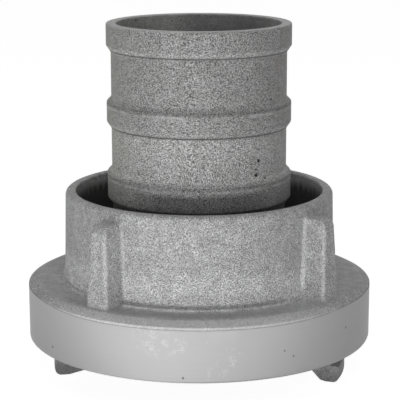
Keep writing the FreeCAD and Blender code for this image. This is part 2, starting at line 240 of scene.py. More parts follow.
def feed(tree, value, socket):
    """Link a socket, or set its value where a plain value is given."""
    if isinstance(value, bpy.types.NodeSocket):
        tree.links.new(value, socket)
    elif value is not None:
        socket.default_value = value


def maths(tree, operation, first, second=None, third=None):
    """Add a maths node and return its result."""
    node = tree.nodes.new("ShaderNodeMath")
    node.operation = operation
    for socket, value in zip(node.inputs, (first, second, third)):
        feed(tree, value, socket)
    return node.outputs[0]


def vector_maths(tree, operation, first, second=None, scale=None):
    """Add a vector maths node and return its vector, or its value where it has only that."""
    node = tree.nodes.new("ShaderNodeVectorMath")
    node.operation = operation
    feed(tree, first, node.inputs[0])
    feed(tree, second, node.inputs[1])
    if scale is not None:
        feed(tree, scale, node.inputs["Scale"])
    return node.outputs["Value" if operation in ("LENGTH", "DOT_PRODUCT") else "Vector"]


def noise(tree, vector, scale, detail=2.0, roughness=0.5, w=None):
    """Add a noise texture and return its value."""
    node = tree.nodes.new("ShaderNodeTexNoise")
    if w is not None:
        node.noise_dimensions = "4D"
        feed(tree, w, node.inputs["W"])
    feed(tree, vector, node.inputs["Vector"])
    node.inputs["Scale"].default_value = scale
    node.inputs["Detail"].default_value = detail
    node.inputs["Roughness"].default_value = roughness
    return node.outputs["Fac"]


def ramp(tree, value, low, high, result_low=0.0, result_high=1.0):
    """Add a smooth step that takes one range of values to another."""
    node = tree.nodes.new("ShaderNodeMapRange")
    node.interpolation_type = "SMOOTHSTEP"
    feed(tree, value, node.inputs["Value"])
    node.inputs["From Min"].default_value = low
    node.inputs["From Max"].default_value = high
    node.inputs["To Min"].default_value = result_low
    node.inputs["To Max"].default_value = result_high
    return node.outputs["Result"]


def fall(tree, value, low, high):
    """Return a mask that falls from 1 to 0 over a range."""
    return ramp(tree, value, low, high, 1.0, 0.0)


def product(tree, *values):
    """Return the product of masks and shares."""
    whole = values[0]
    for value in values[1:]:
        whole = maths(tree, "MULTIPLY", whole, value)
    return whole


def strongest(tree, *masks):
    """Return the strongest of several masks."""
    whole = masks[0]
    for mask in masks[1:]:
        whole = maths(tree, "MAXIMUM", whole, mask)
    return whole


def between(tree, value, low, high, softness):
    """Return a mask that is 1 between two values, with soft ends."""
    over = ramp(tree, value, low - softness, low + softness)
    under = fall(tree, value, high - softness, high + softness)
    return product(tree, over, under)


def graded(tree, mask, low, high):
    """Return a value that goes from low to high as a mask goes from 0 to 1."""
    return maths(tree, "MULTIPLY_ADD", mask, high - low, low)


def blend(tree, share, first, second, kind="RGBA", mode="MIX"):
    """Add a mix node for colours or values and return its result."""
    node = tree.nodes.new("ShaderNodeMix")
    node.data_type = kind
    node.clamp_factor = True
    if kind == "RGBA":
        node.blend_type = mode
    shown = [s for s in node.inputs if s.enabled]
    feed(tree, share, shown[0])
    feed(tree, first, shown[1])
    feed(tree, second, shown[2])
    return next(s for s in node.outputs if s.enabled)


def rgba(colour):
    """Return a colour with full opacity."""
    return (*colour, 1.0)


def grey(level):
    """Return a neutral colour with full opacity."""
    return (level, level, level, 1.0)


def lay(tree, base, colour, *masks):
    """Lay a colour over a base where all the masks are strong."""
    return blend(tree, product(tree, *masks), base, colour)


def tint(tree, base, colour, mask=1.0):
    """Multiply a base by a colour where the mask is strong."""
    return blend(tree, mask, base, colour, mode="MULTIPLY")


def raise_relief(tree, shader, relief):
    """Give a shader the normals of a relief, in metres."""
    bump = tree.nodes.new("ShaderNodeBump")
    bump.inputs["Distance"].default_value = 1.0
    feed(tree, relief, bump.inputs["Height"])
    feed(tree, bump.outputs["Normal"], shader.inputs["Normal"])


def new_group(name, inputs, outputs):
    """Start a node group and return it with its entry and exit sockets.

    An input whose default is a tuple is a vector; all other sockets are plain values.
    """
    group = bpy.data.node_groups.new(name, "ShaderNodeTree")
    for title, default in inputs.items():
        kind = "NodeSocketVector" if isinstance(default, tuple) else "NodeSocketFloat"
        socket = group.interface.new_socket(name=title, in_out="INPUT", socket_type=kind)
        socket.default_value = default
    for title in outputs:
        group.interface.new_socket(name=title, in_out="OUTPUT", socket_type="NodeSocketFloat")
    entry = group.nodes.new("NodeGroupInput").outputs
    leave = group.nodes.new("NodeGroupOutput").inputs
    return group, entry, leave


def place_group(name):
    """Radius from the coupling's axis and height above the lug feet."""
    group, entry, leave = new_group(name, {"Vector": ORIGIN}, ("Radius", "Height"))
    split = group.nodes.new("ShaderNodeSeparateXYZ")
    feed(group, entry["Vector"], split.inputs[0])
    flat = vector_maths(group, "MULTIPLY", entry["Vector"], LEVEL_PLANE)
    feed(group, vector_maths(group, "LENGTH", flat), leave["Radius"])
    feed(group, split.outputs["Z"], leave["Height"])
    return group


def cast_skin_group(name):
    """Fine sandy grain of a casting, its flecks, its mottles and its slow clouding."""
    fine_scale, cell_scale, mottle_scale, cloud_scale = 2.4, 0.8, 0.12, 0.05
    fine_share, cell_share = 0.45, 0.35
    group, entry, leave = new_group(
        name, {"Vector": ORIGIN, "Grain Size": 0.0004},
        ("Height", "Flecks", "Mottles", "Clouds"))
    per_grain = maths(group, "DIVIDE", 1.0, entry["Grain Size"])
    grains = vector_maths(group, "SCALE", entry["Vector"], scale=per_grain)
    coarse = noise(group, grains, 1.0, detail=1.0, roughness=0.6)
    fine = noise(group, grains, fine_scale, detail=1.0)
    cells = group.nodes.new("ShaderNodeTexVoronoi")
    feed(group, grains, cells.inputs["Vector"])
    cells.inputs["Scale"].default_value = cell_scale
    rough = maths(group, "MULTIPLY_ADD", fine, fine_share, coarse)
    height = maths(group, "MULTIPLY_ADD", cells.outputs["Distance"], cell_share, rough)
    feed(group, height, leave["Height"])
    shifted = vector_maths(group, "ADD", grains, (31.0, 17.0, 5.0))
    for title, vector, scale, detail, low, high in (
        ("Flecks", shifted, 1.0, 0.0, 0.36, 0.64),
        ("Mottles", shifted, mottle_scale, 3.0, 0.3, 0.7),
        ("Clouds", grains, cloud_scale, 3.0, 0.3, 0.7),
    ):
        shades = noise(group, vector, scale, detail=detail)
        feed(group, ramp(group, shades, low, high), leave[title])
    return group


def turned_skin_group(name):
    """Rings that a lathe tool leaves, and the dull streaks between them."""
    relief_scale, streak_scale, streaks_per_ring = 40.0, 25.0, 0.3
    group, entry, leave = new_group(
        name, {"Vector": ORIGIN, "Radius": 0.0, "Height": 0.0, "Pitch": 0.0003},
        ("Relief", "Streaks"))
    across = maths(group, "ADD", entry["Radius"], entry["Height"])
    rings = maths(group, "DIVIDE", across, entry["Pitch"])
    flat = vector_maths(group, "MULTIPLY", entry["Vector"], LEVEL_PLANE)
    feed(group, noise(group, flat, relief_scale, detail=1.0, w=rings), leave["Relief"])
    wide = product(group, rings, streaks_per_ring)
    feed(group, noise(group, flat, streak_scale, detail=2.0, w=wide), leave["Streaks"])
    return group


def spot_group(name):
    """A small ragged spot about one point of the surface."""
    raggedness, ragged_scale = 1.3, 1.6
    group, entry, leave = new_group(
        name, {"Vector": ORIGIN, "Centre": ORIGIN, "Size": 0.001}, ("Mask",))
    apart = vector_maths(group, "SUBTRACT", entry["Vector"], entry["Centre"])
    share = maths(group, "DIVIDE", vector_maths(group, "LENGTH", apart), entry["Size"])
    per_size = maths(group, "DIVIDE", ragged_scale, entry["Size"])
    ragged = noise(group, vector_maths(group, "SCALE", entry["Vector"], scale=per_size), 1.0)
    reach = maths(group, "MULTIPLY_ADD", ragged, -raggedness,
                  maths(group, "ADD", share, raggedness / 2))
    feed(group, fall(group, reach, 0.55, 1.0), leave["Mask"])
    return group


def rubbed_edge_and_glint_group(name):
    """A broken bright line where a round edge is rubbed bare and catches the light, partly wear
    and partly painted highlight.
    """
    break_scale = 160.0
    group, entry, leave = new_group(
        name,
        {"Vector": ORIGIN, "Radius": 0.0, "Height": 0.0, "Edge Radius": 0.0,
         "Edge Height": 0.0, "Width": 0.0005},
        ("Mask",))
    out = maths(group, "SUBTRACT", entry["Radius"], entry["Edge Radius"])
    up = maths(group, "SUBTRACT", entry["Height"], entry["Edge Height"])
    apart = maths(group, "SQRT", maths(
        group, "ADD", product(group, out, out), product(group, up, up)))
    near = fall(group, maths(group, "DIVIDE", apart, entry["Width"]), 0.4, 1.0)
    broken = ramp(group, noise(group, entry["Vector"], break_scale, detail=4.0), 0.38, 0.6)
    feed(group, product(group, near, broken), leave["Mask"])
    return group


def rib_highlights_group(name):
    """Painted highlights on the rounded edges and the root fillets of the four grip ribs."""
    full_width, soft_width, uneven_scale = 0.2 * MM, 0.8 * MM, 700.0
    group, entry, leave = new_group(name, {"Vector": ORIGIN}, ("Mask",))
    turned = group.nodes.new("ShaderNodeVectorRotate")
    turned.rotation_type = "Z_AXIS"
    turned.inputs["Angle"].default_value = -math.radians(RIB_ANGLE)
    feed(group, entry["Vector"], turned.inputs["Vector"])
    split = group.nodes.new("ShaderNodeSeparateXYZ")
    feed(group, turned.outputs["Vector"], split.inputs[0])
    first = maths(group, "ABSOLUTE", split.outputs["X"])
    second = maths(group, "ABSOLUTE", split.outputs["Y"])
    outward = maths(group, "MAXIMUM", first, second)
    across = maths(group, "MINIMUM", first, second)
    height = split.outputs["Z"]
    masks = []
    for foot, top in ((RIB_FOOT_EDGE, RIB_TOP_EDGE), (RIB_FOOT_ROOT, RIB_TOP_ROOT)):
        gaps = []
        for place, low, high in zip((outward, across), foot, top):
            slope = (high - low) / (RIB_TOP_Z - CROWN_Z)
            line = maths(group, "MULTIPLY_ADD", height, slope, low - slope * CROWN_Z)
            gap = maths(group, "SUBTRACT", place, line)
            gaps.append(product(group, gap, gap))
        apart = maths(group, "SQRT", maths(group, "ADD", *gaps))
        masks.append(fall(group, apart, full_width, soft_width))
    along = between(group, height, CROWN_Z + MM, RIB_TOP_Z - 2 * MM, MM)
    uneven = ramp(group, noise(group, entry["Vector"], uneven_scale, detail=3.0),
                  0.3, 0.62, 0.3, 1.0)
    feed(group, product(group, strongest(group, *masks), along, uneven), leave["Mask"])
    return group


def scratches_group(name):
    """Fine scratches that run every way."""
    stretches = ((0.5, 0.5, 2.2), (1.9, 1.1, 0.6), (1.2, 1.2, 1.4))
    field_scale, kept_scale = 380.0, 420.0
    core, width = 0.004, 0.04
    group, entry, leave = new_group(name, {"Vector": ORIGIN}, ("Mask",))
    masks = []
    for stretch in stretches:
        stretched = vector_maths(group, "MULTIPLY", entry["Vector"], stretch)
        field = noise(group, stretched, field_scale, detail=1.0)
        off = maths(group, "ABSOLUTE", maths(group, "SUBTRACT", field, 0.5))
        masks.append(fall(group, off, core, width))
    kept = ramp(group, noise(group, entry["Vector"], kept_scale, detail=2.0), 0.46, 0.62)
    feed(group, product(group, strongest(group, *masks), kept), leave["Mask"])
    return group


def use_group(tree, group, **values):
    """Place a group in a material, set or link its inputs and return its outputs."""
    node = tree.nodes.new("ShaderNodeGroup")
    node.node_tree = group
    for title, value in values.items():
        feed(tree, value, node.inputs[title.replace("_", " ")])
    return node.outputs


def shared_group(name, make):
    """Return a node group by name, made on first use."""
    return bpy.data.node_groups.get(name) or make(name)


class Surface:
    """A new material: its node tree, its shader, and the place on the coupling."""

    def __init__(self, name):
        self.material = bpy.data.materials.new(name)
        self.material.use_nodes = True
        self.tree = self.material.node_tree
        self.shader = self.tree.nodes["Principled BSDF"]
        self.position = self.tree.nodes.new("ShaderNodeTexCoord").outputs["Object"]
        place = use_group(self.tree, shared_group("Place round the axis", place_group),
                          Vector=self.position)
        self.radius, self.height = place["Radius"], place["Height"]


def on_circle(radius, angle, height):
    """Return the point at a radius, an angle in degrees and a height."""
    turn = math.radians(angle)
    return Vector((radius * math.cos(turn), radius * math.sin(turn), height))


def spots(surface, radius, marks):
    """Return one mask that holds several spots on a round surface."""
    group = shared_group("Spot", spot_group)
    return strongest(surface.tree, *[
        use_group(surface.tree, group, Vector=surface.position, Size=size * MM,
                  Centre=on_circle(radius, angle, height * MM))["Mask"]
        for angle, height, size in marks])


def soft_patches(surface, radius, marks):
    """Return one mask that holds several soft round patches on a round surface."""
    tree = surface.tree
    full_share = 0.25
    masks = []
    for angle, height, size in marks:
        centre = on_circle(radius, angle, height * MM)
        apart = vector_maths(tree, "LENGTH", vector_maths(
            tree, "SUBTRACT", surface.position, centre))
        masks.append(fall(tree, apart, full_share * size * MM, size * MM))
    return strongest(tree, *masks)


def facing(surface, angle, low, high):
    """Return how far a point lies towards an angle in degrees, from 0 at low to 1 at high."""
    reach = vector_maths(surface.tree, "DOT_PRODUCT", surface.position,
                         on_circle(1.0, angle, 0.0))
    return ramp(surface.tree, reach, low, high)


def front_share(surface):
    """Return how far a point of the ring lies towards the front, from 0 to 1."""
    return facing(surface, FRONT, 0.45 * RING_R, 0.9 * RING_R)


def band_height(surface):
    """Return the height, raised in front because the turned band ends lower there."""
    return maths(surface.tree, "MULTIPLY_ADD", front_share(surface), BAND_TOP_DROP,
                 surface.height)


def rubbed_edge_and_glint(surface, edge_r, edge_z, width):
    """Return the broken bright line of one rubbed edge, partly wear and partly painted highlight.
    """
    return use_group(surface.tree, shared_group("Rubbed edge and glint", rubbed_edge_and_glint_group),
                     Vector=surface.position, Radius=surface.radius, Height=surface.height,
                     Edge_Radius=edge_r, Edge_Height=edge_z, Width=width)["Mask"]


def turned_mask(surface):
    """Return where the head was turned: its band, mating face and front bore."""
    tree, radius, height = surface.tree, surface.radius, surface.height
    band = product(
        tree, ramp(tree, radius, RING_R - 0.35 * MM, RING_R - 0.05 * MM),
        between(tree, band_height(surface), FACE_Z - MM, BAND_TOP_Z - 0.12 * MM, TURNED_SOFT))
    face = product(
        tree, between(tree, height, FACE_Z - TURNED_SOFT, FACE_Z + TURNED_SOFT, TURNED_SOFT / 2),
        ramp(tree, radius, FRONT_BORE_R - MM, FRONT_BORE_R))
    bore = product(
        tree, fall(tree, radius, FRONT_BORE_R, FRONT_BORE_R + TURNED_SOFT),
        fall(tree, height, SHOULDER_Z, BELL_FLOOR_Z - MM))
    return strongest(tree, band, face, bore)


def cast_skin(surface, casting):
    """Return the heights and shades of the cast skin on a surface."""
    return use_group(surface.tree, shared_group("Cast skin", cast_skin_group),
                     Vector=surface.position, Grain_Size=casting.grain_size)


def turned_skin(surface, pitch):
    """Return the relief and streaks of the turned skin on a surface."""
    return use_group(surface.tree, shared_group("Turned skin", turned_skin_group),
                     Vector=surface.position, Radius=surface.radius, Height=surface.height,
                     Pitch=pitch)


def cast_colour(tree, skin, colour, lit_flecks, look):
    """Return the colour of a cast skin: its flecks, its mottles and its slow haze."""
    contrast, mottles, haze = look
    middle = 0.5
    # Painted light: the flecks' contrast grows with the share of light that catches the grain
    flecks = blend(tree, lit_flecks, middle, skin["Flecks"], kind="FLOAT")
    cast = blend(tree, flecks, rgba(colour * (1 - contrast)), rgba(colour * (1 + contrast)))
    cast = tint(tree, cast, blend(tree, skin["Mottles"], grey(mottles[0]), grey(mottles[1])))
    return tint(tree, cast, blend(tree, skin["Clouds"], rgba(haze[0]), rgba(haze[1])))


def head_skin_colour(surface, skin, colour):
    """Return the head's cast skin, its flecks painted as lit in front and smooth on its crown,
    with painted light on its slope and painted highlights on its ribs.
    """
    tree, radius = surface.tree, surface.radius
    slope_light_share, rib_highlight_share = 0.45, 0.38
    crown = product(
        tree, between(tree, radius, FOOT_R + 1.5 * MM, CROWN_INNER_R, 0.5 * MM),
        fall(tree, surface.height, CROWN_Z + 0.5 * MM, CROWN_Z + 1.5 * MM))
    # Painted light: the flecks are strongest in front, where the light catches the grain, and
    # faint on the crown
    ahead = facing(surface, FRONT, 0.1 * FOOT_R, 0.9 * FOOT_R)
    lit_flecks = product(tree, graded(tree, ahead, 0.75, 1.0), graded(tree, crown, 1.0, 0.4))
    cast = cast_colour(tree, skin, colour, lit_flecks, HEAD_SKIN)
    # Painted light on the front of the slope beyond the crown
    slope = ramp(tree, radius, CROWN_INNER_R - 0.3 * MM, CROWN_INNER_R + 0.5 * MM)
    cast = lay(tree, cast, grey(0.92), slope, front_share(surface), slope_light_share)
    # Painted highlights on the ribs' edges and root fillets
    ribs = use_group(tree, shared_group("Rib highlights", rib_highlights_group), Vector=surface.position)
    return lay(tree, cast, grey(0.9), ribs["Mask"], rib_highlight_share)


def band_skin_colour(surface, lathe, colour):
    """Return the colour of the turned band, with its streaks, scratches and pinholes."""
    tree = surface.tree
    scuff_share, tool_share, wear_share, pinhole_share = 0.3, 0.7, 0.5, 0.8
    streaked = blend(tree, lathe["Streaks"], rgba(colour * 0.88), rgba(colour * 1.1))
    scratches = use_group(tree, shared_group("Scratches", scratches_group),
                          Vector=surface.position)
    scratched = product(tree, scratches["Mask"], soft_patches(surface, RING_R, SCRATCHED_PATCHES))
    scuffed = product(tree, spots(surface, RING_R, PALE_SCUFFS), scuff_share)
    tooled = product(tree, ramp(tree, lathe["Relief"], 0.5, 0.62),
                     soft_patches(surface, RING_R, TOOL_MARKED_PATCHES), tool_share)
    worn = lay(tree, streaked, grey(0.9), strongest(tree, scratched, scuffed, tooled), wear_share)
    return lay(tree, worn, grey(0.12), spots(surface, RING_R, DARK_PINHOLES), pinhole_share)


def band_seam(surface, colour):
    """Draw the dark seam that runs over the turned band."""
    tree = surface.tree
    seam_share = 0.5
    seam = product(
        tree, ramp(tree, surface.radius, RING_R - 0.5 * MM, RING_R - 0.2 * MM),
        between(tree, band_height(surface), BAND_TOP_Z - 0.1 * MM, BAND_TOP_Z + 0.12 * MM,
                TURNED_SOFT))
    return lay(tree, colour, grey(0.12), seam, seam_share)


def paint_foot_light_and_shade(surface, colour, between_ribs):
    """Paint light on the low wall of the bell, and paint shade at its foot and on the flat before
    it.
    """
    tree, radius, height = surface.tree, surface.radius, surface.height
    foot_share, flat_share = 0.5, 0.25
    # Painted light on the lower wall of the bell
    wall = product(
        tree, between(tree, radius, BELL_INNER_R + MM, FOOT_R + 0.2 * MM, 0.2 * MM),
        between(tree, height, CROWN_Z + 1.8 * MM, CROWN_Z + 8.0 * MM, 4 * MM))
    colour = tint(tree, colour, grey(1.34), wall)
    # Painted shade at the foot of the bell, between the ribs
    foot = product(
        tree, between(tree, height, CROWN_Z + 0.5 * MM, CROWN_Z + 1.6 * MM, 0.35 * MM),
        fall(tree, radius, FOOT_R, FOOT_R + MM))
    colour = lay(tree, colour, grey(0.15), foot, between_ribs, foot_share)
    # Painted shade on the flat before the bell's foot, on its front side
    flat = product(
        tree, between(tree, radius, FOOT_R + 2 * MM, CROWN_INNER_R - MM, 0.8 * MM),
        fall(tree, height, CROWN_Z + 0.2 * MM, CROWN_Z + 0.5 * MM))
    shaded_side = facing(surface, FRONT - 10.0, 0.6 * FOOT_R, FOOT_R)
    return lay(tree, colour, grey(0.15), flat, shaded_side, flat_share)


def paint_lug_and_bell_shade(surface, colour):
    """Paint shade on the lugs towards their feet, and inside the bell."""
    tree, radius, height = surface.tree, surface.radius, surface.height
    inside_share = 0.9
    # Painted shade on the lugs, deepest at their feet on the floor
    lugs = product(tree, fall(tree, height, FACE_Z - 0.4 * MM, FACE_Z - 0.1 * MM),
                   ramp(tree, height, 0.5 * MM, 5 * MM, 0.45, 0.0))
    colour = lay(tree, colour, grey(0.13), lugs)
    # Painted shade inside the bell
    inside = product(
        tree, fall(tree, radius, BELL_INNER_R - 0.1 * MM, BELL_INNER_R),
        fall(tree, height, BELL_RIM_Z - 3.5 * MM, BELL_RIM_Z - 0.5 * MM),
        ramp(tree, height, SHOULDER_Z, BELL_FLOOR_Z))
    return lay(tree, colour, INSIDE_SHADE, inside, inside_share)


def head_finish(casting):
    """Cast skin on the head, turned bare on its band, its mating face and its bore."""
    surface = Surface("head_aluminium")
    tree, shader = surface.tree, surface.shader
    skin = cast_skin(surface, casting)
    lathe = turned_skin(surface, casting.turning_pitch)
    turned = turned_mask(surface)
    cast = head_skin_colour(surface, skin, Vector(casting.head_colour))
    bare = band_skin_colour(surface, lathe, Vector(casting.band_colour))
    between_ribs = facing(surface, FRONT, 0.7 * FOOT_R, 0.88 * FOOT_R)
    colour = band_seam(surface, blend(tree, turned, cast, bare))
    colour = paint_foot_light_and_shade(surface, colour, between_ribs)
    colour = paint_lug_and_bell_shade(surface, colour)
    # Rubbed edges with painted highlights: the band's top edge all round, and the bell's foot
    # edge only in front
    band_share, foot_share = 0.15, product(tree, between_ribs, 0.5)
    for edge_r, edge_z, width, share in (
        (RING_R, BAND_TOP_Z, 0.45 * MM, band_share),
        (FOOT_R + 0.4 * MM, CROWN_Z, 0.8 * MM, foot_share),
    ):
        colour = lay(tree, colour, RUBBED_AND_GLINT, rubbed_edge_and_glint(surface, edge_r, edge_z, width), share)
    feed(tree, colour, shader.inputs["Base Color"])
    feed(tree, blend(tree, turned, CAST_ROUGHNESS, TURNED_ROUGHNESS, kind="FLOAT"),
         shader.inputs["Roughness"])
    shader.inputs["Metallic"].default_value = METAL_SHARE
    shader.inputs["Specular IOR Level"].default_value = SPECULAR_LEVEL
    raise_relief(tree, shader, blend(
        tree, turned, product(tree, skin["Height"], casting.grain_depth),
        product(tree, lathe["Relief"], TURNED_RELIEF), kind="FLOAT"))
    return surface.material


def tail_outside(surface):
    """Return 1 on the outside of the tail and 0 in its waterway."""
    return ramp(surface.tree, surface.radius, MOUTH_R, BARREL_R - 0.5 * MM)


def tail_painted_shade(surface):
    """Return where shade is painted on the tail: under and over its ridges and low in the bell.
    """
    tree, height = surface.tree, surface.height
    soft = 0.15 * MM
    line_share = 0.8
    masks = []
    # Painted shade in the creases at the feet of the ridges
    for foot_z in RIDGE_FOOT_Z:
        line = between(tree, height, foot_z + 0.45 * MM, foot_z + 0.8 * MM, soft)
        masks.append(product(tree, line, line_share))
    # Painted shade on the upward-facing tops of two ridges
    for high_z, share in ((LOWER_RIDGE_TOP_Z - 0.3 * MM, 0.2), (MIDDLE_RIDGE_TOP_Z, 0.36)):
        top = between(tree, height, high_z - 0.8 * MM, high_z + 0.3 * MM, 2 * soft)
        masks.append(product(tree, top, share))
    # Painted shadow of the bell's front rim, deepest in front
    low = product(
        tree, fall(tree, height, LOWER_RIDGE_TOP_Z - 3.2 * MM, LOWER_RIDGE_TOP_Z - 1.7 * MM),
        ramp(tree, height, BELL_FLOOR_Z, BELL_FLOOR_Z + MM))
    rim_shadowed = facing(surface, FRONT + 8.0, 0.6 * RIDGE_R, 0.97 * RIDGE_R)
    masks.append(product(tree, low, graded(tree, rim_shadowed, 0.06, 0.68)))
    return product(tree, strongest(tree, *masks), tail_outside(surface))


def tail_edges(surface):
    """Return the rubbed edges of the tail, with painted highlights: both edges of its mouth and
    the tops of two ridges.
    """
    return strongest(surface.tree, *[
        rubbed_edge_and_glint(surface, edge_r, edge_z, 0.5 * MM)
        for edge_r, edge_z in (
            (RIDGE_R, MOUTH_Z), (MOUTH_R, MOUTH_Z), (RIDGE_R, LOWER_RIDGE_TOP_Z - 1.3 * MM),
            (RIDGE_R, MIDDLE_RIDGE_TOP_Z - 0.9 * MM))])


def tail_skin_colour(surface, skin, colour):
    """Return the tail's cast skin, with painted light on its pale places and painted shade in its
    waterway.
    """
    tree, height = surface.tree, surface.height
    # Painted light: the flecks are strongest in front, where the light catches the grain
    ahead = facing(surface, FRONT, 0.1 * BARREL_R, 0.8 * BARREL_R)
    cast = cast_colour(tree, skin, colour, graded(tree, ahead, 0.55, 1.0), TAIL_SKIN)
    # Painted light on the barrel over the lower ridge and just above each ridge's foot
    bands = [(LOWER_RIDGE_TOP_Z + 0.6 * MM, RIDGE_FOOT_Z[0] + 0.3 * MM)]
    bands += [(foot_z + 0.9 * MM, foot_z + 2.0 * MM) for foot_z in RIDGE_FOOT_Z]
    places = [between(tree, height, low, high, 0.3 * MM) for low, high in bands]
    outside = tail_outside(surface)
    cast = tint(tree, cast, grey(1.28), product(tree, strongest(tree, *places), outside))
    # Painted light with a greenish cast on the left side of the tail
    cast = tint(tree, cast, LEFT_LIGHT_TINT, facing(surface, LEFT, 0.3 * BARREL_R, 0.9 * BARREL_R))
    # Painted shade in the waterway, deepest on its back wall
    back = facing(surface, BACK, 0.7 * WATERWAY_R, WATERWAY_R)
    return lay(tree, cast, grey(0.08), maths(tree, "SUBTRACT", 1.0, outside),
               graded(tree, back, 0.05, 0.55))


def tail_finish(casting):
    """Darker cast skin on the hose tail, with painted shade, a mouth face in painted light,
    rubbed edges with painted highlights, a stain and gas pits.
    """
    surface = Surface("tail_aluminium")
    tree, shader = surface.tree, surface.shader
    tail_shade_share, edge_glint_share, lit_mouth_share, stain_share = 0.9, 0.6, 0.65, 0.25
    skin = cast_skin(surface, casting)
    cast = tail_skin_colour(surface, skin, Vector(casting.tail_colour))
    # Painted shade on the tail
    colour = lay(tree, cast, TAIL_SHADE, tail_painted_shade(surface), tail_shade_share)
    # Painted light on the mouth's end face, and rubbed edges with painted highlights
    lit_mouth_and_edges = strongest(
        tree, ramp(tree, surface.height, MOUTH_Z - 0.2 * MM, MOUTH_Z - 0.05 * MM),
        product(tree, tail_edges(surface), edge_glint_share))
    colour = lay(tree, colour, grey(0.8), lit_mouth_and_edges, lit_mouth_share)
    stain = soft_patches(surface, BARREL_R, (TAIL_STAIN,))
    colour = lay(tree, colour, STAIN, stain, stain_share)
    pits = strongest(tree, spots(surface, BARREL_R, TAIL_PITS),
                     spots(surface, WATERWAY_R, (MOUTH_PIT,)))
    feed(tree, lay(tree, colour, grey(0.03), pits), shader.inputs["Base Color"])
    shader.inputs["Roughness"].default_value = CAST_ROUGHNESS
    shader.inputs["Metallic"].default_value = METAL_SHARE
    shader.inputs["Specular IOR Level"].default_value = SPECULAR_LEVEL
    grain = product(tree, skin["Height"], casting.grain_depth)
    raise_relief(tree, shader, maths(tree, "MULTIPLY_ADD", pits, -PIT_DEPTH, grain))
    return surface.material


def rubber_finish(fittings):
    """Moulded black rubber with a faint bloom."""
    surface = Surface("seal_rubber")
    tree, shader, position = surface.tree, surface.shader, surface.position
    rubber = Vector(fittings.rubber_colour)
    bloom_gain = 1.9
    bloom = ramp(tree, noise(tree, position, 220.0, detail=5.0), 0.4, 0.75)
    feed(tree, blend(tree, bloom, rgba(rubber), rgba(rubber * bloom_gain)),
         shader.inputs["Base Color"])
    feed(tree, ramp(tree, noise(tree, position, 500.0), 0.3, 0.7, 0.5, 0.68),
         shader.inputs["Roughness"])
    raise_relief(tree, shader, product(tree, noise(tree, position, 1800.0), 0.02 * MM))
    return surface.material


def steel_finish(fittings):
    """Drawn spring wire with marks along its run."""
    surface = Surface("spring_steel")
    tree, shader = surface.tree, surface.shader
    drawn = turned_skin(surface, 0.15 * MM)
    steel = Vector(fittings.steel_colour)
    feed(tree, blend(tree, drawn["Streaks"], rgba(steel * 0.75), rgba(steel * 1.2)),
         shader.inputs["Base Color"])
    feed(tree, ramp(tree, drawn["Relief"], 0.3, 0.7, 0.28, 0.45), shader.inputs["Roughness"])
    shader.inputs["Metallic"].default_value = 0.9
    return surface.material


def wear(piece, material):
    """Give a piece one finish all over."""
    slots = piece.material_slots
    if not slots:
        piece.data.materials.append(material)
    for material_slot in slots:
        material_slot.material = material


def turned_mesh(name, outline, segments):
    """Return a ring mesh that a closed outline of radius and height sweeps round the axis."""
    mesh = bpy.data.meshes.new(name)
    form = bmesh.new()
    rings = []
    for index in range(segments):
        angle = 360.0 * index / segments
        rings.append([form.verts.new(on_circle(r, angle, z)) for r, z in outline])
    count = len(outline)
    for index, ring in enumerate(rings):
        following = rings[(index + 1) % segments]
        for corner in range(count):
            ahead = (corner + 1) % count
            face = form.faces.new(
                (ring[corner], following[corner], following[ahead], ring[ahead]))
            face.smooth = True
    bmesh.ops.recalc_face_normals(form, faces=form.faces)
    form.to_mesh(mesh)
    form.free()
    piece = bpy.data.objects.new(name, mesh)
    bpy.context.scene.collection.objects.link(piece)
    return piece


def seal_outline(lip_relief):
    """Return the seal's section: three rounded lips on its face, and its foot."""
    lips = 3
    steps = 14 * lips
    shoulder = 0.5 * MM
    front = SEAL_LOW.z
    back = SEAL_HIGH.z
    first_r = SEAL_BORE_R + shoulder
    last_r = SEAL_LIP_R - shoulder
    outline = [(SEAL_BORE_R, back), (SEAL_BORE_R, front + lip_relief + shoulder)]
    for step in range(steps + 1):
        share = step / steps
        dip = 0.5 + 0.5 * math.cos(2 * math.pi * lips * share)
        outline.append((first_r + (last_r - first_r) * share, front + lip_relief * dip))
    foot_front = back - SEAL_FOOT_HEIGHT
    outline += [
        (SEAL_LIP_R, front + lip_relief + shoulder),
        (SEAL_LIP_R, foot_front),
        (SEAL_FOOT_R, foot_front),
        (SEAL_FOOT_R, back),
    ]
    return outline


class COUPLING_OT_head(bpy.types.Operator):
    """Give the coupling head its cast skin and its turned band"""

    bl_idname = "coupling.head"
    bl_label = "Finish Coupling Head"

    def execute(self, context):
        wear(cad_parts["coupling_head"], head_finish(context.scene.coupling_casting))
        return {"FINISHED"}


class COUPLING_OT_tail(bpy.types.Operator):
    """Give the hose tail its cast skin and its gas pits"""

    bl_idname = "coupling.tail"
    bl_label = "Finish Hose Tail"

    def execute(self, context):
        wear(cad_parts["hose_tail"], tail_finish(context.scene.coupling_casting))
        return {"FINISHED"}


class COUPLING_OT_seal(bpy.types.Operator):
    """Make the face seal with its moulded lips"""

    bl_idname = "coupling.seal"
    bl_label = "Make Face Seal"

    def execute(self, context):
        fittings = context.scene.coupling_fittings
        outline = seal_outline(fittings.lip_relief)
        seal = turned_mesh("lipped_face_seal", outline, segments=160)
        wear(seal, rubber_finish(fittings))
        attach(seal, "tail")
        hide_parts("face_seal")
        return {"FINISHED"}


class COUPLING_OT_snap_ring(bpy.types.Operator):
    """Give the snap ring its drawn steel finish"""

    bl_idname = "coupling.snap_ring"
    bl_label = "Finish Snap Ring"

    def execute(self, context):
        wear(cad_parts["snap_ring"], steel_finish(context.scene.coupling_fittings))
        return {"FINISHED"}


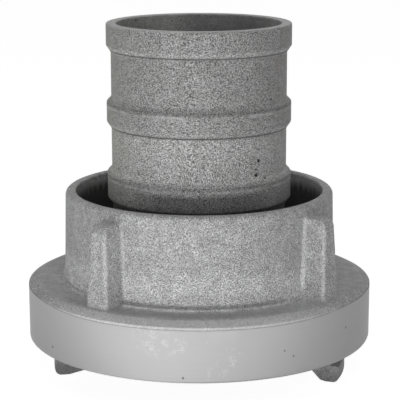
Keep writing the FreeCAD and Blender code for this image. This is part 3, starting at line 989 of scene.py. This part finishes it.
def seen_or_mirrored(tree):
    """Return 1 for what the camera sees directly, in a reflection or through glass."""
    path = tree.nodes.new("ShaderNodeLightPath").outputs
    return strongest(tree, path["Is Camera Ray"], path["Is Glossy Ray"],
                     path["Is Transmission Ray"])


def floor_finish():
    """White floor that keeps a soft shadow and can't be seen from below."""
    matt_shade, glow_level = 0.45, 0.94
    material = bpy.data.materials.new("studio_floor")
    material.use_nodes = True
    tree = material.node_tree
    tree.nodes.clear()
    matt = tree.nodes.new("ShaderNodeBsdfDiffuse")
    matt.inputs["Color"].default_value = grey(matt_shade)
    glow = tree.nodes.new("ShaderNodeEmission")
    glow.inputs["Color"].default_value = grey(1.0)
    feed(tree, product(tree, seen_or_mirrored(tree), glow_level), glow.inputs["Strength"])
    both = tree.nodes.new("ShaderNodeAddShader")
    tree.links.new(matt.outputs[0], both.inputs[0])
    tree.links.new(glow.outputs[0], both.inputs[1])
    clear = tree.nodes.new("ShaderNodeBsdfTransparent")
    sides = tree.nodes.new("ShaderNodeMixShader")
    tree.links.new(tree.nodes.new("ShaderNodeNewGeometry").outputs["Backfacing"], sides.inputs[0])
    tree.links.new(both.outputs[0], sides.inputs[1])
    tree.links.new(clear.outputs[0], sides.inputs[2])
    surface = tree.nodes.new("ShaderNodeOutputMaterial")
    tree.links.new(sides.outputs[0], surface.inputs["Surface"])
    return material


def make_floor():
    """Lay the floor under the feet of the lugs."""
    half = 4.0
    mesh = bpy.data.meshes.new("studio_floor")
    mesh.from_pydata(
        [(-half, -half, 0), (half, -half, 0), (half, half, 0), (-half, half, 0)], [],
        [(0, 1, 2, 3)])
    floor = bpy.data.objects.new("studio_floor", mesh)
    floor.location.z = CAD_LOW.z
    bpy.context.scene.collection.objects.link(floor)
    wear(floor, floor_finish())


def make_room(ambient_level):
    """Fill the room with plain light and show it white behind the coupling."""
    world = bpy.data.worlds.new("studio_room")
    world.use_nodes = True
    tree = world.node_tree
    background = tree.nodes["Background"]
    background.inputs["Color"].default_value = grey(1.0)
    strength = blend(tree, seen_or_mirrored(tree), ambient_level, 1.0, kind="FLOAT")
    feed(tree, strength, background.inputs["Strength"])
    bpy.context.scene.world = world


def make_lamp(name, turn, rise, level):
    """Hang a softbox that faces the coupling; level is what it gives a facing surface."""
    distance, size = 1.1, 0.45
    lamp = bpy.data.lights.new(name, "AREA")
    lamp.size = size
    lamp.energy = level * (math.pi * distance) ** 2
    softbox = bpy.data.objects.new(name, lamp)
    target = (CAD_LOW + CAD_HIGH) / 2
    level_distance = distance * math.cos(math.radians(rise))
    place = on_circle(level_distance, FRONT + turn, distance * math.sin(math.radians(rise)))
    softbox.location = target + place
    softbox.rotation_euler = (-place).to_track_quat("-Z", "Y").to_euler()
    bpy.context.scene.collection.objects.link(softbox)


def make_table_light(name, across, towards_camera, depth, level):
    """Light a piece of the table in front of the coupling, out of the camera's sight."""
    width, lift = 0.18, 2 * MM
    lamp = bpy.data.lights.new(name, "AREA")
    lamp.shape = "RECTANGLE"
    lamp.size = width
    lamp.size_y = depth
    lamp.energy = level * math.pi * width * depth
    table = bpy.data.objects.new(name, lamp)
    table.location = (across, -towards_camera, CAD_LOW.z + lift)
    table.rotation_euler = (math.pi, 0, 0)
    table.visible_camera = False
    bpy.context.scene.collection.objects.link(table)


def make_camera(studio):
    """Stand the camera where the photograph was taken from.

    The focal length and the shifts are in pixels of the photograph.
    """
    photo_width, focal_length, shift_right, shift_up = 400, 1536.5, 0.86, 0.5
    roll = math.radians(-0.088)
    lens = bpy.data.cameras.new("studio_camera")
    lens.sensor_width = 36.0
    lens.lens = focal_length / photo_width * lens.sensor_width
    lens.shift_x = shift_right / photo_width
    lens.shift_y = shift_up / photo_width
    camera = bpy.data.objects.new("studio_camera", lens)
    place = on_circle(studio.camera_distance, FRONT + math.degrees(studio.camera_turn),
                      studio.camera_height)
    camera.matrix_world = (
        Matrix.Translation(place)
        @ Matrix.Rotation(studio.camera_turn, 4, "Z")
        @ Matrix.Rotation(math.pi / 2 - studio.camera_pitch, 4, "X")
        @ Matrix.Rotation(roll, 4, "Z"))
    bpy.context.scene.collection.objects.link(camera)
    bpy.context.scene.camera = camera


class COUPLING_OT_studio(bpy.types.Operator):
    """Set up the floor, the room, the lamps and the camera"""

    bl_idname = "coupling.studio"
    bl_label = "Set Up Studio"

    def execute(self, context):
        studio = context.scene.coupling_studio
        make_floor()
        make_room(studio.ambient_level)
        make_lamp("front_softbox", turn=5.0, rise=3.0, level=studio.front_level)
        make_lamp("side_softbox", turn=-20.0, rise=3.0, level=studio.side_level)
        make_lamp("top_softbox", turn=5.0, rise=55.0, level=studio.top_level)
        make_table_light("left_table", across=-0.09, towards_camera=0.1, depth=0.08,
                         level=studio.left_table_level)
        make_table_light("right_table", across=0.09, towards_camera=0.1, depth=0.08,
                         level=studio.right_table_level)
        make_table_light("far_table", across=-0.09, towards_camera=0.22, depth=0.14,
                         level=studio.far_table_level)
        make_camera(studio)
        context.scene.view_settings.view_transform = "Standard"
        return {"FINISHED"}


class COUPLING_PT_sidebar(bpy.types.Panel):
    """Lists the coupling's pieces, its finishes and its studio"""

    bl_idname = "COUPLING_PT_sidebar"
    bl_label = "Hose Coupling"
    bl_space_type = "VIEW_3D"
    bl_region_type = "UI"
    bl_category = "Coupling"

    def draw(self, context):
        scene = context.scene
        for title, settings, operators in (
            ("Castings", scene.coupling_casting, ("coupling.head", "coupling.tail")),
            ("Fittings", scene.coupling_fittings, ("coupling.seal", "coupling.snap_ring")),
            ("Studio", scene.coupling_studio, ("coupling.studio",)),
        ):
            box = self.layout.box()
            box.label(text=title)
            for name in settings.__annotations__:
                box.prop(settings, name)
            for name in operators:
                box.operator(name)


CLASSES = (
    CouplingCasting,
    CouplingFittings,
    CouplingStudio,
    COUPLING_OT_head,
    COUPLING_OT_tail,
    COUPLING_OT_seal,
    COUPLING_OT_snap_ring,
    COUPLING_OT_studio,
    COUPLING_PT_sidebar,
)


def register():
    """Register the classes and hang the settings on the scene."""
    for item in CLASSES:
        bpy.utils.register_class(item)
    bpy.types.Scene.coupling_casting = PointerProperty(type=CouplingCasting)
    bpy.types.Scene.coupling_fittings = PointerProperty(type=CouplingFittings)
    bpy.types.Scene.coupling_studio = PointerProperty(type=CouplingStudio)


def unregister():
    """Take the settings off the scene and the classes out again."""
    del bpy.types.Scene.coupling_studio
    del bpy.types.Scene.coupling_fittings
    del bpy.types.Scene.coupling_casting
    for item in reversed(CLASSES):
        bpy.utils.unregister_class(item)


def main():
    """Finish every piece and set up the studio."""
    register()
    bpy.ops.coupling.head()
    bpy.ops.coupling.tail()
    bpy.ops.coupling.seal()
    bpy.ops.coupling.snap_ring()
    bpy.ops.coupling.studio()


if __name__ == "__main__":
    main()
